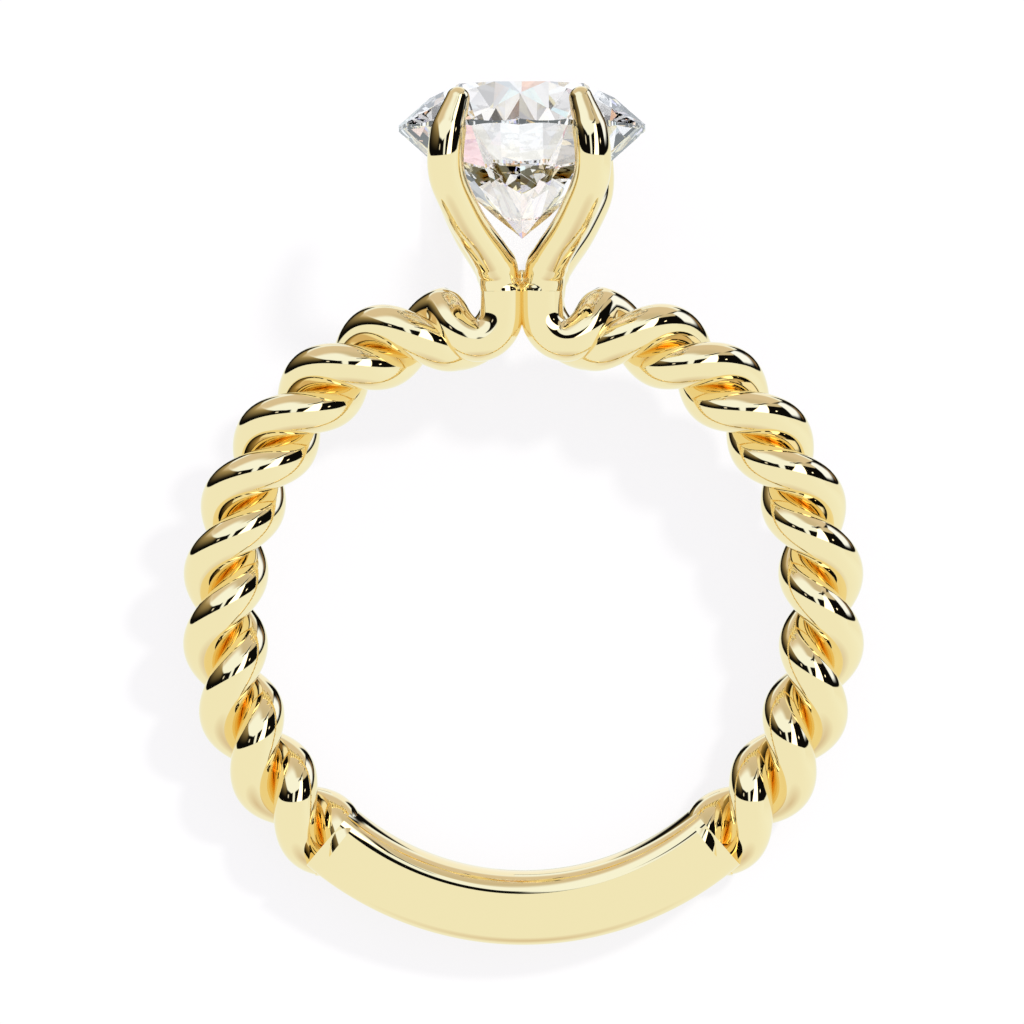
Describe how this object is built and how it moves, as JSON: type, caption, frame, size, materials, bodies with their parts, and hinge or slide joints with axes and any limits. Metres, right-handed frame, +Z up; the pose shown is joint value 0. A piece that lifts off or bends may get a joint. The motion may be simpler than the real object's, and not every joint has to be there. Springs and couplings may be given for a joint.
{
  "type": "finger ring",
  "caption": "Finger ring: twisted round wires on a plain base bar, rising under the head as claws that hold a round brilliant-cut stone.",
  "frame": {"origin": "middle of the box's underside, on the surface that the ring lies on", "axes": "+Y along the surface from the base bar to the stone, +Z up through the finger hole to the ring's front, +X to the right of a person who looks at the front with the stone up; the plane x = 0 mirrors the ring"},
  "size_m": [0.0224, 0.0284, 0.0086],
  "materials": {
    "gold": "polished 18 ct yellow gold",
    "diamond": "clear, flat polished facets"
  },
  "bodies": {
    "root": {"shank_with_claws": "gold", "stone": "diamond"}
  },
  "joints": []
}
